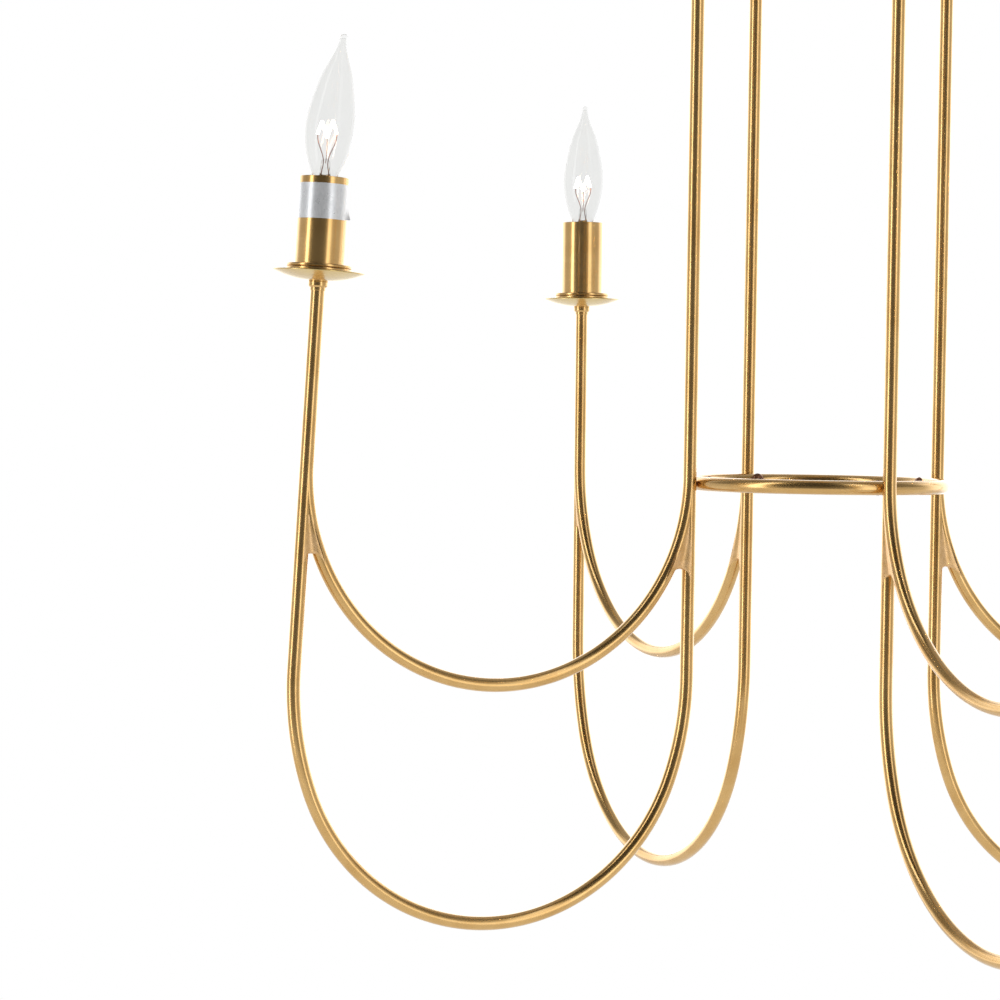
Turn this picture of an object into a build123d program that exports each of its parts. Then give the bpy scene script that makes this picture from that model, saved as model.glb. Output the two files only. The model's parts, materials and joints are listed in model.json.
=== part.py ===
"""Four-arm chandelier with candle lights, hung on a stem from a hang-straight swivel.

Millimetres, +Z up.  The origin is the middle of the ceiling face, so the whole
chandelier hangs below z = 0.  The arms lie along +X, +Y, -X and -Y.
"""
import os
from math import cos, radians, sin, tan

from build123d import *

# ---------------------------------------------------------------- driving sizes
# Heights of the main levels
RING_Z = -680.0            # plane of the ring that ties the four rods together
ROD_RISE = 430.0           # from the ring plane up to the hub's side holes
HUB_Z = RING_Z + ROD_RISE

# Fits between pieces, on the radius
SLIP = 0.02
FIT = 0.05
LOOSE = 0.10

# Arms: three sizes of bend in one size of tube
ARM_ANGLES = (0, 90, 180, 270)
ARM_LEANS = (1.2, -0.6, 3.0, 1.2)   # degrees that each outer upright leans in towards the middle
TUBE_R = 4.5
TUBE_BORE_R = 3.5
ROD_X = 95.0               # inner rods, from the middle
TIP_X = 364.5              # outer uprights, at the ring plane
HUB_BEND_R = 75.0          # where a rod turns in to the hub
UPPER_TANGENT = 5.0        # the upper loop leaves the rod this far above the ring plane
LOWER_TANGENT = -127.0     # the lower loop leaves its straight ends here
LOWER_BOTTOM = -282.7      # lowest point of the lower loop's centreline
LOWER_SHOULDER = 20.0      # degrees of the slack bend at each side of the lower loop
COPE_TOP = -12.0           # the lower loop's coped ends start here
WEB_THICK = 7.6            # ground brazing between the tubes
WEB_INNER_END = -58.0
WEB_OUTER_END = -45.0
WEB_HOLLOW = 3.5           # depth of the rounded crotch at the end of a web
CANDLE_BASE = 121.5        # end of the tube, above the ring plane

# Ring and its screws
RING_TUBE_R = 4.65
RING_R = ROD_X - TUBE_R - RING_TUBE_R - FIT
RING_SCREW_R = 1.9
RING_HOLE_R = 2.05         # clearance hole through the ring
RING_HEAD_R = 5.0
RING_HEAD_H = 3.8
RING_SEAT_GAP = 0.17       # the flat head bears on the ring at its two sides, by its edge
RING_SCREW_GRIP = 2.0      # screw length past the near face of the rod
RING_SHANK_ROOT = 0.2      # the shank starts this far inside the head

# Candle: heights from the end of the tube
COLLAR_R = 6.2
COLLAR_H = 3.7
COLLAR_SKIRT_R = 4.95
COLLAR_SKIRT_H = 2.0
COLLAR_CHAMFER = 0.9
DISH_R = 29.3
DISH_RIM = 9.5
DISH_FLAT_R = 9.0
DISH_WALL = 0.8
DISH_SAG = 0.9             # the arc's dip below a straight cone
SPACER_R = 8.6
SPACER_TOP = 10.0
DISC_R = 20.7
DISC_H = 2.1
DISC_EDGE_R = 0.7
SLEEVE_R = 15.75
SLEEVE_WALL = 0.8
SLEEVE_EDGE_R = 0.25
SLEEVE_TOP = 68.5
NIPPLE_R = 3.4
NIPPLE_BORE_R = 2.5
NIPPLE_BOTTOM = -9.0
NIPPLE_TOP = 22.0
NUT_FLATS = 12.0
NUT_H = 3.2
SOCKET_R = 11.5
SOCKET_BOTTOM = 19.0
SOCKET_TOP = 65.5
SOCKET_WELL_R = 6.9
SOCKET_FLOOR = 48.0
SOCKET_FLOOR_WALL = 4.0
SOCKET_EDGE_R = 0.8
SHELL_WALL = 0.4
SHELL_H = 15.0
SHELL_LIFT = 1.5
CONTACT_R = 3.0
CONTACT_H = 1.6
LABEL_GAP = 0.05           # foil label, rolled round the sleeve with its top below the rim
LABEL_THICK = 0.2
LABEL_DROP = 3.6
LABEL_H = 22.0
LABEL_WRAP = 230.0         # degrees
LABEL_MIDDLE = 29.0        # degrees, direction of the label's middle from the arm's own
LABEL_ARM = 180

# Bulb: heights from the end of the tube
CAP_R = 5.9
CAP_BOTTOM = 51.5
CAP_H = 15.0
CAP_WALL = 0.4
CAP_FLOOR = 1.5
CAP_LIP_GAP = 2.4          # the cap's shell stops this far below the top of the neck
CAP_TIP_R = 2.6
CAP_TIP_BOTTOM = 50.0
GLASS_WALL = 0.8
GLASS_NECK_R = 6.6
GLASS_NECK_DEPTH = 2.0     # of the tapered end inside the cap
GLASS_NECK_TAPER = 1.3
GLASS_SILL_R = 8.8         # level with the top of the sleeve
GLASS_SILL_Z = 69.5
GLASS_R = 16.0
GLASS_MAX_Z = 101.5
GLASS_SHOULDER_R = 11.2
GLASS_SHOULDER_Z = 126.0
GLASS_TIP_R = 1.3
GLASS_TIP_Z = 158.0
MOUNT_R = 4.2
MOUNT_FOOT_H = 1.0
MOUNT_TAPER_H = 8.0
MOUNT_TIP_R = 1.5
MOUNT_TOP = 80.0
LEAD_R = 0.35
LEAD_SPREAD = 6.0
LEAD_FOOT_X = 0.8
LEAD_FOOT_DEPTH = 1.0      # leads are sealed this far into the mount
FILAMENT_Z = 104.0
FILAMENT_DROP = 11.0
FILAMENT_R = 0.45

# Hub, stem and finial
HUB_R = 20.0
HUB_BORE_R = 15.0
HUB_TOP = 18.0
HUB_BOTTOM = -18.0
HUB_ROOF = 4.0
HUB_BEVEL = 4.0
HUB_CAP_H = 4.0
HUB_CAP_LIP = 2.0
HUB_CAP_BEVEL = 3.0
HUB_PLUG_H = 3.0           # the cap's plug, up inside the hub
FINIAL_R = 7.0
FINIAL_H = 22.0
FINIAL_STUD_R = 2.9
FINIAL_STUD_TOP = 5.0      # above the bottom of the hub
FINIAL_COLLAR_R = 4.5
FINIAL_COLLAR_H = 2.0
FINIAL_WAIST_R = 3.2
FINIAL_WAIST_DROP = 3.0
FINIAL_BELLY_DROP = 10.0
FINIAL_TAIL_R = 3.0
FINIAL_TAIL_DROP = 18.0
STEM_R = 6.35
STEM_BORE_R = 5.1
STEM_TOP = -44.0
STEM_THREAD_END = 1.0      # thread that shows under the nut
STEM_NUT_FLATS = 17.0
STEM_NUT_H = 4.0
CONNECTOR_R = 3.9
CONNECTOR_H = 11.0
CONNECTOR_X = 4.6
CONNECTOR_TAPER = 6.0      # degrees
CONNECTOR_LEAD_GAP = 0.5
WIRE_R = 2.1
WIRE_END_X = 10.5          # the arm leads stop here inside the hub
WIRE_TOP = 17.6            # and this far above the end of the arm's tube

# Ceiling hardware and hang-straight swivel
BAR_L = 104.0
BAR_W = 22.0
BAR_T = 2.5
SLOT_SPACING = 88.9
SLOT_R = 2.4
SLOT_L = 11.0
PIPE_R = 4.85
PIPE_BORE_R = 3.3
PIPE_BOTTOM = -18.0
PIPE_NUT_FLATS = 14.3
PIPE_NUT_H = 3.5
GROUND_X = 22.0
GROUND_R = 2.0
GROUND_HEAD_R = 4.0
GROUND_HEAD_H = 2.4
GROUND_SLOT_W = 1.0
GROUND_SLOT_DEPTH = 0.8
GROUND_TOP = -0.2
CUP_R = 15.0
CUP_BORE_R = 13.3
CUP_TOP = -12.0
CUP_FLOOR = -18.0
CUP_BOTTOM = -38.0
PIVOT_Z = -30.0
GIMBAL_R = 12.4
GIMBAL_BORE_R = 8.4
GIMBAL_H = 7.0
PIN_R = 1.5
PIN_RUN = 0.05
PIN_INSET = 0.6            # the cup's screws stop short of the gimbal's bore
PIN_END_GAP = 0.3          # the head's screws stop short of its outside
HEAD_R = 5.9
HEAD_BORE_R = 3.4
HEAD_TOP = -26.0
HEAD_TAIL = 12.0
LEAD_GAP = 2.5             # between the two lengths of supply lead, each side of the pivot
CANOPY_R = 65.0
CANOPY_H = 26.0
CANOPY_WALL = 1.2
CANOPY_EDGE_R = 14.0
CANOPY_HOLE_R = 15.5
COLLAR_RING_R = 19.5
COLLAR_RING_BORE_R = 15.35
COLLAR_RING_H = 6.0
COLLAR_RING_CHAMFER = 0.8


# ---------------------------------------------------------------- small builders
def tube_section(path, radius, bore=0.0):
    """Ring-shaped (or round) section square to the start of a path."""
    face = Circle(radius)
    if bore:
        face -= Circle(bore)
    return Plane(origin=path @ 0, z_dir=path % 0) * face


def swept(path, radius, bore=0.0):
    return sweep(tube_section(path, radius, bore), path=path)


def turned(*points):
    """Solid turned about Z from an outline of (radius, height) points."""
    return revolve(make_face(Plane.XZ * Polyline(*points, close=True)), axis=Axis.Z)


def ring_solid(radius, bore, low, high):
    return Pos(0, 0, low) * extrude(Circle(radius) - Circle(bore), high - low)


def rod_solid(radius, low, high):
    return Pos(0, 0, low) * extrude(Circle(radius), high - low)


def hex_nut(flats, bore, low, height):
    outline = RegularPolygon(flats / 2, 6, major_radius=False) - Circle(bore)
    return Pos(0, 0, low) * extrude(outline, height)


def save(name, *shapes):
    group = Compound(children=[solid for shape in shapes for solid in shape.solids()])
    group.label = name
    export_step(group, f"parts/{name}.step")


# ---------------------------------------------------------------- arm centrelines
class Pen:
    """Draws a chain of tangent lines and arcs in the plane of an arm (X out, Z up)."""

    def __init__(self, x, z, heading):
        self.x = x
        self.z = z
        self.heading = radians(heading)
        self.edges = []

    def line(self, length):
        start = (self.x, 0, self.z)
        self.x += length * cos(self.heading)
        self.z += length * sin(self.heading)
        self.edges.append(Line(start, (self.x, 0, self.z)))

    def bend(self, radius, degrees):
        """Turn anticlockwise for a positive angle, clockwise for a negative one."""
        side = 1 if degrees > 0 else -1
        centre_x = self.x - side * radius * sin(self.heading)
        centre_z = self.z + side * radius * cos(self.heading)
        points = [(self.x, 0, self.z)]
        for part in (0.5, 1.0):
            heading = self.heading + part * radians(degrees)
            points.append((
                centre_x + side * radius * sin(heading),
                0,
                centre_z - side * radius * cos(heading),
            ))
        self.edges.append(ThreePointArc(*points))
        self.heading += radians(degrees)
        self.x, _, self.z = points[-1]

    def wire(self):
        return Wire(self.edges)


def upper_loop_radius(lean):
    span = TIP_X - ROD_X - UPPER_TANGENT * tan(radians(lean))
    return span / (1 + 1 / cos(radians(lean)))


def lower_loop_radii(lean):
    """Radii of the slack side bends and of the bottom bend of the lower loop."""
    cosine = cos(radians(LOWER_SHOULDER))
    sine = sin(radians(LOWER_SHOULDER))
    across = TIP_X - ROD_X - LOWER_TANGENT * tan(radians(lean))
    down = LOWER_TANGENT - LOWER_BOTTOM
    side_share = 1 - 2 * cosine + 1 / cos(radians(lean))
    bottom_radius = across * sine - down * side_share
    bottom_radius /= 2 * cosine * sine - (1 - sine) * side_share
    side_radius = (down - bottom_radius * (1 - sine)) / sine
    return side_radius, bottom_radius


def upright_x(z, lean):
    """Distance of the leaning outer upright from the middle, z above the ring plane."""
    return TIP_X - z * tan(radians(lean))


def arm_path(lean, start_x, overrun=0.0):
    """Hub, over the bend, down the rod, round the upper loop, up to the candle."""
    pen = Pen(start_x, ROD_RISE, 0)
    pen.line(ROD_X - HUB_BEND_R - start_x)
    pen.bend(HUB_BEND_R, -90)
    pen.line(ROD_RISE - HUB_BEND_R - UPPER_TANGENT)
    pen.bend(upper_loop_radius(lean), 180 + lean)
    pen.line((CANDLE_BASE + overrun - pen.z) / cos(radians(lean)))
    return pen.wire()


def lower_path(lean):
    side_radius, bottom_radius = lower_loop_radii(lean)
    pen = Pen(ROD_X, COPE_TOP, -90)
    pen.line(COPE_TOP - LOWER_TANGENT)
    pen.bend(side_radius, LOWER_SHOULDER)
    pen.bend(bottom_radius, 180 - 2 * LOWER_SHOULDER)
    pen.bend(side_radius, LOWER_SHOULDER + lean)
    pen.line((COPE_TOP - pen.z) / cos(radians(lean)))
    return pen.wire()


def loop_x(z, lean, outer):
    """Upper loop's centreline at height z, on its outer or its inner side."""
    radius = upper_loop_radius(lean)
    reach = (radius ** 2 - (UPPER_TANGENT - z) ** 2) ** 0.5
    middle = ROD_X + radius
    return middle + reach if outer else middle - reach


def web(lean, outer):
    """Brazing that fills the narrow gap where the lower loop leaves the upper one."""
    end = WEB_OUTER_END if outer else WEB_INNER_END
    half = (COPE_TOP + end) / 2
    straight_top = upright_x(COPE_TOP, lean) if outer else ROD_X
    straight_end = upright_x(end, lean) if outer else ROD_X
    loop_end = loop_x(end, lean, outer)
    outline = [
        Line((straight_top, 0, COPE_TOP), (straight_end, 0, end)),
        ThreePointArc(
            (straight_end, 0, end),
            ((straight_end + loop_end) / 2, 0, end + WEB_HOLLOW),
            (loop_end, 0, end),
        ),
        ThreePointArc(
            (loop_end, 0, end),
            (loop_x(half, lean, outer), 0, half),
            (loop_x(COPE_TOP, lean, outer), 0, COPE_TOP),
        ),
        Line((loop_x(COPE_TOP, lean, outer), 0, COPE_TOP), (straight_top, 0, COPE_TOP)),
    ]
    face = make_face(outline)
    return extrude(face, WEB_THICK / 2, dir=(0, 1, 0), both=True)


def on_arm(angle):
    """Places a shape drawn in the arm's own plane, from the ring plane up."""
    return Pos(0, 0, RING_Z) * Rot(0, 0, angle)


def on_candle(angle, lean):
    """Places a shape drawn upright from the end of an arm's tube."""
    base = Pos(upright_x(CANDLE_BASE, lean), 0, CANDLE_BASE) * Rot(0, -lean, 0)
    return on_arm(angle) * base


def arm_tube(angle, lean):
    tube = swept(arm_path(lean, HUB_BORE_R), TUBE_R, TUBE_BORE_R)
    screw_hole = Pos(ROD_X - TUBE_R, 0, 0) * Rot(0, 90, 0) * Cylinder(RING_SCREW_R, 2 * TUBE_R)
    return on_arm(angle) * (tube - screw_hole)


def lower_loop(angle, lean):
    loop = swept(lower_path(lean), TUBE_R, TUBE_BORE_R)
    filled = loop + web(lean, False) + web(lean, True)
    coped = filled - swept(arm_path(lean, HUB_BORE_R), TUBE_R)
    return on_arm(angle) * max(coped.solids(), key=lambda solid: solid.volume)


def arm_wire(angle, lean):
    return on_arm(angle) * swept(arm_path(lean, WIRE_END_X, WIRE_TOP), WIRE_R)


# ---------------------------------------------------------------- ring
def tie_ring():
    """One closed tube, joined up from the outer faces of two drilled halves."""
    section = Plane.XZ * Pos(RING_R, 0) * Rot(0, 0, 90) * Circle(RING_TUBE_R)
    half = Rot(0, 0, -45) * revolve(section, axis=Axis.Z, revolution_arc=180)
    for angle in (0, 90):
        half -= Rot(0, 0, angle) * Pos(RING_R, 0, 0) * Rot(0, 90, 0) * Cylinder(RING_HOLE_R, 4 * RING_TUBE_R)
    halves = [half, Rot(0, 0, 180) * half]
    faces = [face for piece in halves for face in piece.faces() if face.geom_type != GeomType.PLANE]
    return Pos(0, 0, RING_Z) * Solid(Shell(faces))


def ring_screw(angle):
    """Button-head screw, put in from inside the ring."""
    seat = RING_R - RING_TUBE_R - RING_SEAT_GAP
    end = ROD_X - TUBE_R + RING_SCREW_GRIP
    shank = rod_solid(RING_SCREW_R, -RING_SHANK_ROOT, end - seat)
    dome_r = (RING_HEAD_R ** 2 + RING_HEAD_H ** 2) / (2 * RING_HEAD_H)
    slab = Pos(0, 0, -RING_HEAD_H / 2) * Cylinder(2 * RING_HEAD_R, RING_HEAD_H)
    head = Pos(0, 0, dome_r - RING_HEAD_H) * Sphere(dome_r) & slab
    return on_arm(angle) * Pos(seat, 0, 0) * Rot(0, 90, 0) * (shank + head)


# ---------------------------------------------------------------- candle hardware
def candle_collar():
    return turned(
        (TUBE_R + SLIP, -COLLAR_SKIRT_H),
        (COLLAR_SKIRT_R, -COLLAR_SKIRT_H),
        (COLLAR_SKIRT_R, 0),
        (COLLAR_R - COLLAR_CHAMFER, 0),
        (COLLAR_R, COLLAR_CHAMFER),
        (COLLAR_R, COLLAR_H),
        (NIPPLE_R + FIT, COLLAR_H),
        (NIPPLE_R + FIT, 0),
        (TUBE_R + SLIP, 0),
    )


def dish():
    """Shallow saucer: flat middle, then one arc up to a thin rim."""
    bore = NIPPLE_R + LOOSE
    low = COLLAR_H
    inner_low = low + DISH_WALL
    lip = DISH_R - DISH_WALL / 2
    middle_x = (DISH_FLAT_R + DISH_R) / 2
    middle_z = (low + DISH_RIM) / 2 - DISH_SAG
    under = ThreePointArc((DISH_FLAT_R, 0, low), (middle_x, 0, middle_z), (DISH_R, 0, DISH_RIM))
    over = ThreePointArc(
        (lip, 0, DISH_RIM), (middle_x, 0, middle_z + DISH_WALL), (DISH_FLAT_R, 0, inner_low)
    )
    outline = [
        Line((bore, 0, low), (DISH_FLAT_R, 0, low)),
        under,
        Line((DISH_R, 0, DISH_RIM), (lip, 0, DISH_RIM)),
        over,
        Line((DISH_FLAT_R, 0, inner_low), (bore, 0, inner_low)),
        Line((bore, 0, inner_low), (bore, 0, low)),
    ]
    return revolve(make_face(outline), axis=Axis.Z)


def spacer():
    return ring_solid(SPACER_R, NIPPLE_R + LOOSE, COLLAR_H + DISH_WALL, SPACER_TOP)


def flange_disc(level):
    low = SPACER_TOP + level * DISC_H
    disc = ring_solid(DISC_R, NIPPLE_R + LOOSE, low, low + DISC_H)
    rims = disc.edges().filter_by(GeomType.CIRCLE).sort_by(SortBy.RADIUS)[-2:]
    return fillet(rims, DISC_EDGE_R)


def sleeve():
    low = SPACER_TOP + 2 * DISC_H
    tube = ring_solid(SLEEVE_R, SLEEVE_R - SLEEVE_WALL, low, SLEEVE_TOP)
    rims = tube.edges().filter_by(GeomType.CIRCLE).group_by(Axis.Z)[-1]
    return fillet(rims, SLEEVE_EDGE_R)


def socket_nipple():
    return ring_solid(NIPPLE_R, NIPPLE_BORE_R, NIPPLE_BOTTOM, NIPPLE_TOP)


def socket_nut():
    return hex_nut(NUT_FLATS, NIPPLE_R + FIT, SPACER_TOP + 2 * DISC_H, NUT_H)


def socket_body():
    """Moulded candle socket: threaded foot below, lamp well above."""
    body = rod_solid(SOCKET_R, SOCKET_BOTTOM, SOCKET_TOP)
    body -= rod_solid(SOCKET_WELL_R, SOCKET_FLOOR, SOCKET_TOP + 1)
    body -= rod_solid(NIPPLE_R + FIT, SOCKET_BOTTOM - 1, NIPPLE_TOP)
    body -= rod_solid(NIPPLE_BORE_R, NIPPLE_TOP - 1, SOCKET_FLOOR - SOCKET_FLOOR_WALL)
    rims = body.edges().filter_by(GeomType.CIRCLE).sort_by(SortBy.RADIUS)[-2:]
    return fillet(rims, SOCKET_EDGE_R)


def socket_shell():
    low = SOCKET_FLOOR + SHELL_LIFT
    outer = SOCKET_WELL_R - FIT
    return ring_solid(outer, outer - SHELL_WALL, low, low + SHELL_H)


def socket_contact():
    return rod_solid(CONTACT_R, SOCKET_FLOOR, SOCKET_FLOOR + CONTACT_H)


def foil_label():
    """Plain foil sticker rolled round the upper part of one sleeve."""
    inner = SLEEVE_R + LABEL_GAP
    middle = (inner + LABEL_THICK / 2, SLEEVE_TOP - LABEL_DROP - LABEL_H / 2)
    section = Plane.XZ * Pos(*middle) * Rectangle(LABEL_THICK, LABEL_H)
    band = revolve(section, axis=Axis.Z, revolution_arc=LABEL_WRAP)
    return Rot(0, 0, LABEL_MIDDLE - LABEL_WRAP / 2) * band


# ---------------------------------------------------------------- bulb
def glass_solid(inset):
    """Flame-shaped solid, all its radii smaller by the inset."""
    neck_r = GLASS_NECK_R - inset
    neck_top = CAP_BOTTOM + CAP_H
    neck_low = neck_top - GLASS_NECK_DEPTH
    tip_z = GLASS_TIP_Z - inset
    flame = Spline(
        (neck_r, 0, neck_top),
        (GLASS_SILL_R - inset, 0, GLASS_SILL_Z),
        (GLASS_R - inset, 0, GLASS_MAX_Z),
        (GLASS_SHOULDER_R - inset, 0, GLASS_SHOULDER_Z),
        (GLASS_TIP_R, 0, tip_z),
        tangents=((0.6, 0, 0.8), (0, 0, 1)),
    )
    outline = [
        Line((neck_r - GLASS_NECK_TAPER, 0, neck_low), (neck_r, 0, neck_top)),
        flame,
        Line((GLASS_TIP_R, 0, tip_z), (0, 0, tip_z)),
        Line((0, 0, tip_z), (0, 0, neck_low)),
        Line((0, 0, neck_low), (neck_r - GLASS_NECK_TAPER, 0, neck_low)),
    ]
    return revolve(make_face(outline), axis=Axis.Z)


def bulb_glass():
    """Blown envelope, open at the neck where the cap is cemented on."""
    return glass_solid(0) - glass_solid(GLASS_WALL)


def bulb_cap():
    """Screw cap with a solder tip; the thread is left plain."""
    top = CAP_BOTTOM + CAP_H
    shell = ring_solid(CAP_R, CAP_R - CAP_WALL, CAP_BOTTOM, top - CAP_LIP_GAP)
    floor = rod_solid(CAP_R - CAP_WALL, CAP_BOTTOM, CAP_BOTTOM + CAP_FLOOR)
    tip = rod_solid(CAP_TIP_R, CAP_TIP_BOTTOM, CAP_BOTTOM)
    return shell + floor + tip


def straight_wire(start, end, radius):
    path = Wire([Line(start, end)])
    return swept(path, radius)


def bulb_filament():
    """Glass mount with its lead wires, middle support and the coil they carry."""
    mount_low = CAP_BOTTOM + CAP_H
    mount = turned(
        (0, mount_low),
        (MOUNT_R, mount_low),
        (MOUNT_R, mount_low + MOUNT_FOOT_H),
        (MOUNT_TIP_R, mount_low + MOUNT_TAPER_H),
        (MOUNT_TIP_R, MOUNT_TOP),
        (0, MOUNT_TOP),
    )
    left = (-LEAD_SPREAD, 0, FILAMENT_Z)
    right = (LEAD_SPREAD, 0, FILAMENT_Z)
    low = (0, 0, FILAMENT_Z - FILAMENT_DROP)
    foot = MOUNT_TOP - LEAD_FOOT_DEPTH
    wires = [
        straight_wire((-LEAD_FOOT_X, 0, foot), left, LEAD_R),
        straight_wire((LEAD_FOOT_X, 0, foot), right, LEAD_R),
        straight_wire((0, 0, foot), low, LEAD_R),
        straight_wire(left, low, FILAMENT_R),
        straight_wire(low, right, FILAMENT_R),
    ]
    joined = mount
    for wire in wires:
        joined += wire
    return joined


# ---------------------------------------------------------------- hub and stem
def hub_body():
    """Turned cup, open below; the four rods enter its side and the stem its roof."""
    ceiling = HUB_TOP - HUB_ROOF
    body = turned(
        (HUB_BORE_R, HUB_BOTTOM),
        (HUB_R, HUB_BOTTOM),
        (HUB_R, HUB_TOP - HUB_BEVEL),
        (HUB_R - HUB_BEVEL, HUB_TOP),
        (STEM_R + FIT, HUB_TOP),
        (STEM_R + FIT, ceiling),
        (HUB_BORE_R, ceiling),
    )
    for angle in ARM_ANGLES:
        body -= Rot(0, 0, angle) * Pos(HUB_R, 0, 0) * Rot(0, 90, 0) * Cylinder(TUBE_R, HUB_R)
    return Pos(0, 0, HUB_Z) * body


def hub_cap():
    low = HUB_BOTTOM - HUB_CAP_H + HUB_CAP_LIP
    plug_top = HUB_BOTTOM + HUB_PLUG_H
    return Pos(0, 0, HUB_Z) * turned(
        (FINIAL_STUD_R + FIT, low),
        (HUB_R - HUB_CAP_BEVEL, low),
        (HUB_R, low + HUB_CAP_LIP),
        (HUB_BORE_R - FIT, HUB_BOTTOM),
        (HUB_BORE_R - FIT, plug_top),
        (FINIAL_STUD_R + FIT, plug_top),
    )


def finial():
    """Small turned drop with a stud up through the hub's cap."""
    top = HUB_BOTTOM - HUB_CAP_H + HUB_CAP_LIP
    end = top - FINIAL_H
    waist = top - FINIAL_WAIST_DROP
    outline = [
        Line((0, 0, top), (FINIAL_COLLAR_R, 0, top)),
        Line((FINIAL_COLLAR_R, 0, top), (FINIAL_COLLAR_R, 0, top - FINIAL_COLLAR_H)),
        Line((FINIAL_COLLAR_R, 0, top - FINIAL_COLLAR_H), (FINIAL_WAIST_R, 0, waist)),
        Spline(
            (FINIAL_WAIST_R, 0, waist),
            (FINIAL_R, 0, top - FINIAL_BELLY_DROP),
            (FINIAL_TAIL_R, 0, top - FINIAL_TAIL_DROP),
            (0, 0, end),
            tangents=((1, 0, -0.4), (-1, 0, 0)),
        ),
        Line((0, 0, end), (0, 0, top)),
    ]
    stud = rod_solid(FINIAL_STUD_R, top, HUB_BOTTOM + FINIAL_STUD_TOP)
    return Pos(0, 0, HUB_Z) * (revolve(make_face(outline), axis=Axis.Z) + stud)


def stem():
    low = HUB_Z + HUB_TOP - HUB_ROOF - STEM_NUT_H - STEM_THREAD_END
    return ring_solid(STEM_R, STEM_BORE_R, low, STEM_TOP)


def stem_nut():
    low = HUB_Z + HUB_TOP - HUB_ROOF - STEM_NUT_H
    return hex_nut(STEM_NUT_FLATS, STEM_R + FIT, low, STEM_NUT_H)


def stem_lead():
    low = HUB_Z + CONNECTOR_H / 2 + CONNECTOR_LEAD_GAP
    return rod_solid(WIRE_R, low, PIVOT_Z - LEAD_GAP)


def splice_connector(side):
    low = HUB_Z - CONNECTOR_H / 2
    body = extrude(Circle(CONNECTOR_R), CONNECTOR_H, taper=CONNECTOR_TAPER)
    return Pos(side * CONNECTOR_X, 0, low) * body


# ---------------------------------------------------------------- swivel and canopy
def stem_head():
    """Top of the stem: trunnion block in the gimbal, with a tail down into the stem."""
    low = STEM_TOP - HEAD_TAIL
    body = turned(
        (HEAD_BORE_R, low),
        (STEM_BORE_R - SLIP, low),
        (STEM_BORE_R - SLIP, STEM_TOP),
        (HEAD_R, STEM_TOP),
        (HEAD_R, HEAD_TOP),
        (HEAD_BORE_R, HEAD_TOP),
    )
    hole = Pos(0, 0, PIVOT_Z) * Rot(90, 0, 0) * Cylinder(PIN_R, 4 * HEAD_R)
    return body - hole


def gimbal_ring():
    ring = ring_solid(GIMBAL_R, GIMBAL_BORE_R, PIVOT_Z - GIMBAL_H / 2, PIVOT_Z + GIMBAL_H / 2)
    across_y = Pos(0, 0, PIVOT_Z) * Rot(90, 0, 0) * Cylinder(PIN_R + PIN_RUN, 4 * GIMBAL_R)
    across_x = Pos(0, 0, PIVOT_Z) * Rot(0, 90, 0) * Cylinder(PIN_R + PIN_RUN, 4 * GIMBAL_R)
    return ring - across_x - across_y


def cup_screw(side):
    """Pivot screw through the cup's wall, on the X axis, into the gimbal ring."""
    pin = rod_solid(PIN_R, GIMBAL_BORE_R + PIN_INSET, CUP_R)
    return Pos(0, 0, PIVOT_Z) * Rot(0, side * 90, 0) * pin


def head_screw(side):
    """Pivot screw of the stem head, on the Y axis, out into the gimbal ring."""
    pin = rod_solid(PIN_R, HEAD_BORE_R, GIMBAL_R - PIN_END_GAP)
    return Pos(0, 0, PIVOT_Z) * Rot(side * 90, 0, 0) * pin


def swivel_cup():
    """Cup that hangs on the pipe nipple; its outside carries the collar's thread."""
    cup = turned(
        (PIPE_R + FIT, CUP_FLOOR),
        (CUP_BORE_R, CUP_FLOOR),
        (CUP_BORE_R, CUP_BOTTOM),
        (CUP_R, CUP_BOTTOM),
        (CUP_R, CUP_TOP),
        (PIPE_R + FIT, CUP_TOP),
    )
    hole = Pos(0, 0, PIVOT_Z) * Rot(0, 90, 0) * Cylinder(PIN_R, 4 * CUP_R)
    return cup - hole


def pipe_nipple():
    return ring_solid(PIPE_R, PIPE_BORE_R, PIPE_BOTTOM, 0)


def pipe_nut():
    return hex_nut(PIPE_NUT_FLATS, PIPE_R + FIT, -BAR_T - PIPE_NUT_H, PIPE_NUT_H)


def crossbar():
    outline = Rectangle(BAR_L, BAR_W) - Circle(PIPE_R + FIT)
    for side in (-1, 1):
        outline -= Pos(side * SLOT_SPACING / 2, 0) * SlotOverall(SLOT_L, 2 * SLOT_R)
    outline -= Pos(GROUND_X, 0) * Circle(GROUND_R)
    return Pos(0, 0, -BAR_T) * extrude(outline, BAR_T)


def ground_screw():
    low = -BAR_T - GROUND_HEAD_H
    head = rod_solid(GROUND_HEAD_R, low, -BAR_T)
    shank = rod_solid(GROUND_R, -BAR_T, GROUND_TOP)
    slot = Pos(0, 0, low) * Box(3 * GROUND_HEAD_R, GROUND_SLOT_W, 2 * GROUND_SLOT_DEPTH)
    return Pos(GROUND_X, 0, 0) * (head - slot + shank)


def supply_lead():
    return rod_solid(WIRE_R, PIVOT_Z + LEAD_GAP, 0)


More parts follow.
